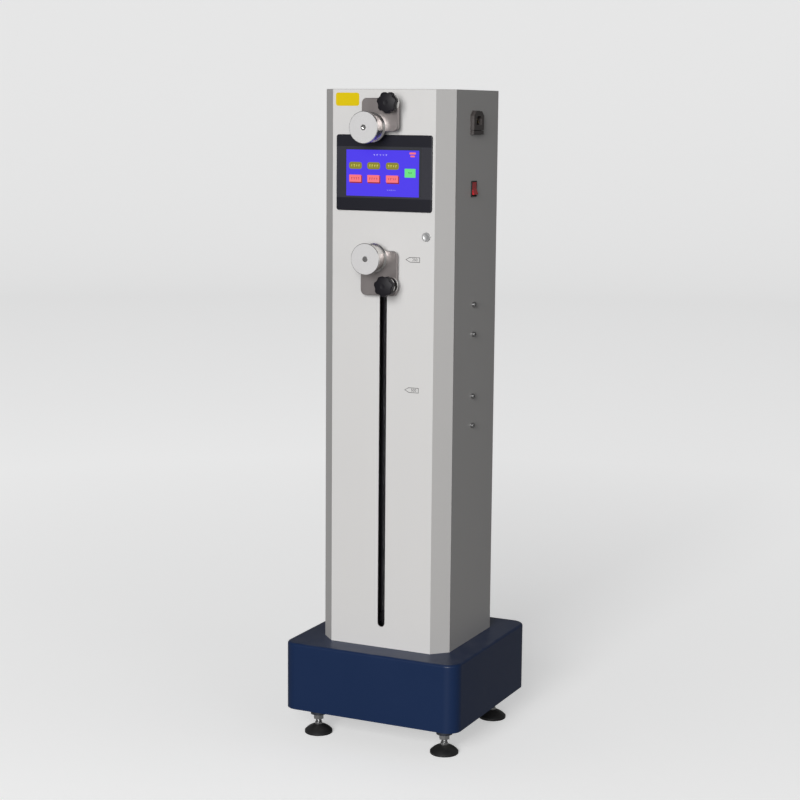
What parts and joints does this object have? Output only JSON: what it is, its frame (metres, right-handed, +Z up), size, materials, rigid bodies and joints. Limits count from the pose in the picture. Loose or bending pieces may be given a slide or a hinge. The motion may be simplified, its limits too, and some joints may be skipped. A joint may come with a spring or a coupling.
{
  "type": "yarn strength tester",
  "caption": "Upright yarn strength tester: slotted column on a broad base with levelling feet, touch panel, winding capstans and star-knob clamps.",
  "frame": {"origin": "on the floor, under the middle of the base", "axes": "+Z up the column, -Y towards the operator, +X to the side with the switch and the inlet"},
  "size_m": [0.376, 0.3735, 1.2835],
  "materials": {
    "column_paint": "semi-matt powder coat",
    "base_paint": "semi-gloss powder coat",
    "underside_steel": "matt",
    "zinc_steel": "zinc plated",
    "pad_plastic": "moulded",
    "black_screws": "blackened",
    "spine_paint": "matt",
    "machined_steel": "ground",
    "machined_aluminium": "machined",
    "arm_steel": "machined",
    "plate_steel": "brushed",
    "capstan_metal": "fine turned, satin",
    "polished_steel": "polished",
    "knob_plastic": "moulded",
    "motor_paint": "matt",
    "belt_rubber": "matt",
    "panel_plastic": "moulded",
    "screen_film": "glossy",
    "clip_plastic": "moulded",
    "button_metal": "satin",
    "switch_black": "moulded",
    "rocker_red": "moulded",
    "inlet_plastic": "moulded",
    "pin_metal": "plated",
    "supply_case": "punched sheet",
    "driver_case": "finned",
    "board_green": "varnished"
  },
  "bodies": {
    "frame": {"base_housing": "base_paint", "base_plate": "underside_steel", "foot_bosses": "underside_steel", "foot_lock_nuts": "zinc_steel", "column_casing": "column_paint", "rear_cover": "column_paint", "top_cap": "column_paint", "panel_screws": "zinc_steel", "cap_screws": "black_screws", "spine": "spine_paint", "side_brackets": "spine_paint", "guide_rails": "machined_steel", "bearing_blocks": "machined_aluminium", "screw_bearings": "machined_steel", "drive_motor": "motor_paint", "motor_bracket": "machined_aluminium", "drive_belt": "belt_rubber", "load_cell": "machined_aluminium", "load_cell_bracket": "machined_aluminium", "load_cell_adapter": "arm_steel", "upper_clamp_plate": "plate_steel", "upper_capstan": "capstan_metal", "upper_capstan_screw": "polished_steel", "upper_jaw_stud": "polished_steel", "hmi_housing": "panel_plastic", "hmi_screen": "screen_film", "hmi_clips": "clip_plastic", "button_housing": "button_metal", "rocker_housing": "switch_black", "inlet_housing": "inlet_plastic", "inlet_pins": "pin_metal", "power_supply": "supply_case", "motor_driver": "driver_case", "control_board": "board_green"},
    "crosshead": {"guide_blocks": "machined_steel", "ball_nut": "machined_steel", "carriage_plate": "machined_aluminium", "clamp_arm": "arm_steel", "lower_clamp_plate": "plate_steel", "lower_capstan": "capstan_metal", "lower_capstan_screw": "polished_steel", "lower_jaw_stud": "polished_steel"},
    "drive_screw": {"lead_screw": "machined_steel", "screw_pulley": "machined_aluminium"},
    "motor_shaft": {"motor_pulley": "machined_aluminium"},
    "upper_jaw_washer": {"upper_jaw": "polished_steel"},
    "upper_star_knob": {"upper_knob": "knob_plastic"},
    "lower_jaw_washer": {"lower_jaw": "polished_steel"},
    "lower_star_knob": {"lower_knob": "knob_plastic"},
    "start_button_cap": {"start_button": "button_metal"},
    "power_rocker_paddle": {"rocker_paddle": "rocker_red"},
    "fuse_drawer_tray": {"fuse_drawer": "inlet_plastic"},
    "pad_front_left": {"foot_pad_front_left": "pad_plastic"},
    "stud_front_left": {"foot_stud_front_left": "zinc_steel"},
    "pad_front_right": {"foot_pad_front_right": "pad_plastic"},
    "stud_front_right": {"foot_stud_front_right": "zinc_steel"},
    "pad_rear_left": {"foot_pad_rear_left": "pad_plastic"},
    "stud_rear_left": {"foot_stud_rear_left": "zinc_steel"},
    "pad_rear_right": {"foot_pad_rear_right": "pad_plastic"},
    "stud_rear_right": {"foot_stud_rear_right": "zinc_steel"}
  },
  "joints": [
    {"name": "crosshead_travel", "type": "slide", "parent": "frame", "child": "crosshead", "axis": [0, 0, -1], "range_m": [0, 0.64]},
    {"name": "screw_spin", "type": "hinge", "parent": "frame", "child": "drive_screw", "pos_m": [0, -0.058, 0.6], "axis": [0, 0, 1], "continuous": true},
    {"name": "motor_spin", "type": "hinge", "parent": "frame", "child": "motor_shaft", "pos_m": [0.094, -0.058, 0.17], "axis": [0, 0, 1], "continuous": true},
    {"name": "upper_jaw_slide", "type": "slide", "parent": "frame", "child": "upper_jaw_washer", "axis": [0, -1, 0], "range_m": [0, 0.0125]},
    {"name": "upper_knob_turn", "type": "hinge", "parent": "upper_jaw_washer", "child": "upper_star_knob", "pos_m": [0.0286, -0.17, 1.258], "axis": [0, -1, 0], "range_deg": [0, 3600]},
    {"name": "lower_jaw_slide", "type": "slide", "parent": "crosshead", "child": "lower_jaw_washer", "axis": [0, -1, 0], "range_m": [-0.01, 0.0025]},
    {"name": "lower_knob_turn", "type": "hinge", "parent": "lower_jaw_washer", "child": "lower_star_knob", "pos_m": [0.025, -0.17, 0.915], "axis": [0, -1, 0], "range_deg": [-2880, 720]},
    {"name": "start_button_press", "type": "slide", "parent": "frame", "child": "start_button_cap", "axis": [0, 1, 0], "range_m": [0, 0.002], "stiffness_N_per_m": 800},
    {"name": "power_rocker_tilt", "type": "hinge", "parent": "frame", "child": "power_rocker_paddle", "pos_m": [0.135, -0.0123, 1.096], "axis": [0, 1, 0], "range_deg": [0, 20]},
    {"name": "fuse_drawer_pull", "type": "slide", "parent": "frame", "child": "fuse_drawer_tray", "axis": [1, 0, 0], "range_m": [0, 0.012]},
    {"name": "foot_lift_front_left", "type": "slide", "parent": "frame", "child": "pad_front_left", "axis": [0, 0, -1], "range_m": [-0.007, 0.0175]},
    {"name": "foot_turn_front_left", "type": "hinge", "parent": "pad_front_left", "child": "stud_front_left", "pos_m": [-0.139, -0.122, 0.03], "axis": [0, 0, -1], "range_deg": [-1440, 3600]},
    {"name": "foot_lift_front_right", "type": "slide", "parent": "frame", "child": "pad_front_right", "axis": [0, 0, -1], "range_m": [-0.007, 0.0175]},
    {"name": "foot_turn_front_right", "type": "hinge", "parent": "pad_front_right", "child": "stud_front_right", "pos_m": [0.139, -0.122, 0.03], "axis": [0, 0, -1], "range_deg": [-1440, 3600]},
    {"name": "foot_lift_rear_left", "type": "slide", "parent": "frame", "child": "pad_rear_left", "axis": [0, 0, -1], "range_m": [-0.007, 0.0175]},
    {"name": "foot_turn_rear_left", "type": "hinge", "parent": "pad_rear_left", "child": "stud_rear_left", "pos_m": [-0.139, 0.122, 0.03], "axis": [0, 0, -1], "range_deg": [-1440, 3600]},
    {"name": "foot_lift_rear_right", "type": "slide", "parent": "frame", "child": "pad_rear_right", "axis": [0, 0, -1], "range_m": [-0.007, 0.0175]},
    {"name": "foot_turn_rear_right", "type": "hinge", "parent": "pad_rear_right", "child": "stud_rear_right", "pos_m": [0.139, 0.122, 0.03], "axis": [0, 0, -1], "range_deg": [-1440, 3600]}
  ],
  "couplings": [
    {"joint": "screw_spin", "follows": "crosshead_travel", "rad_per_m": 628.32},
    {"joint": "motor_spin", "follows": "crosshead_travel", "rad_per_m": 942.48},
    {"joint": "upper_jaw_slide", "follows": "upper_knob_turn", "m_per_rad": 0.00019894},
    {"joint": "lower_jaw_slide", "follows": "lower_knob_turn", "m_per_rad": 0.00019894},
    {"joint": "foot_turn_front_left", "follows": "foot_lift_front_left", "rad_per_m": 3590.4},
    {"joint": "foot_turn_front_right", "follows": "foot_lift_front_right", "rad_per_m": 3590.4},
    {"joint": "foot_turn_rear_left", "follows": "foot_lift_rear_left", "rad_per_m": 3590.4},
    {"joint": "foot_turn_rear_right", "follows": "foot_lift_rear_right", "rad_per_m": 3590.4}
  ]
}
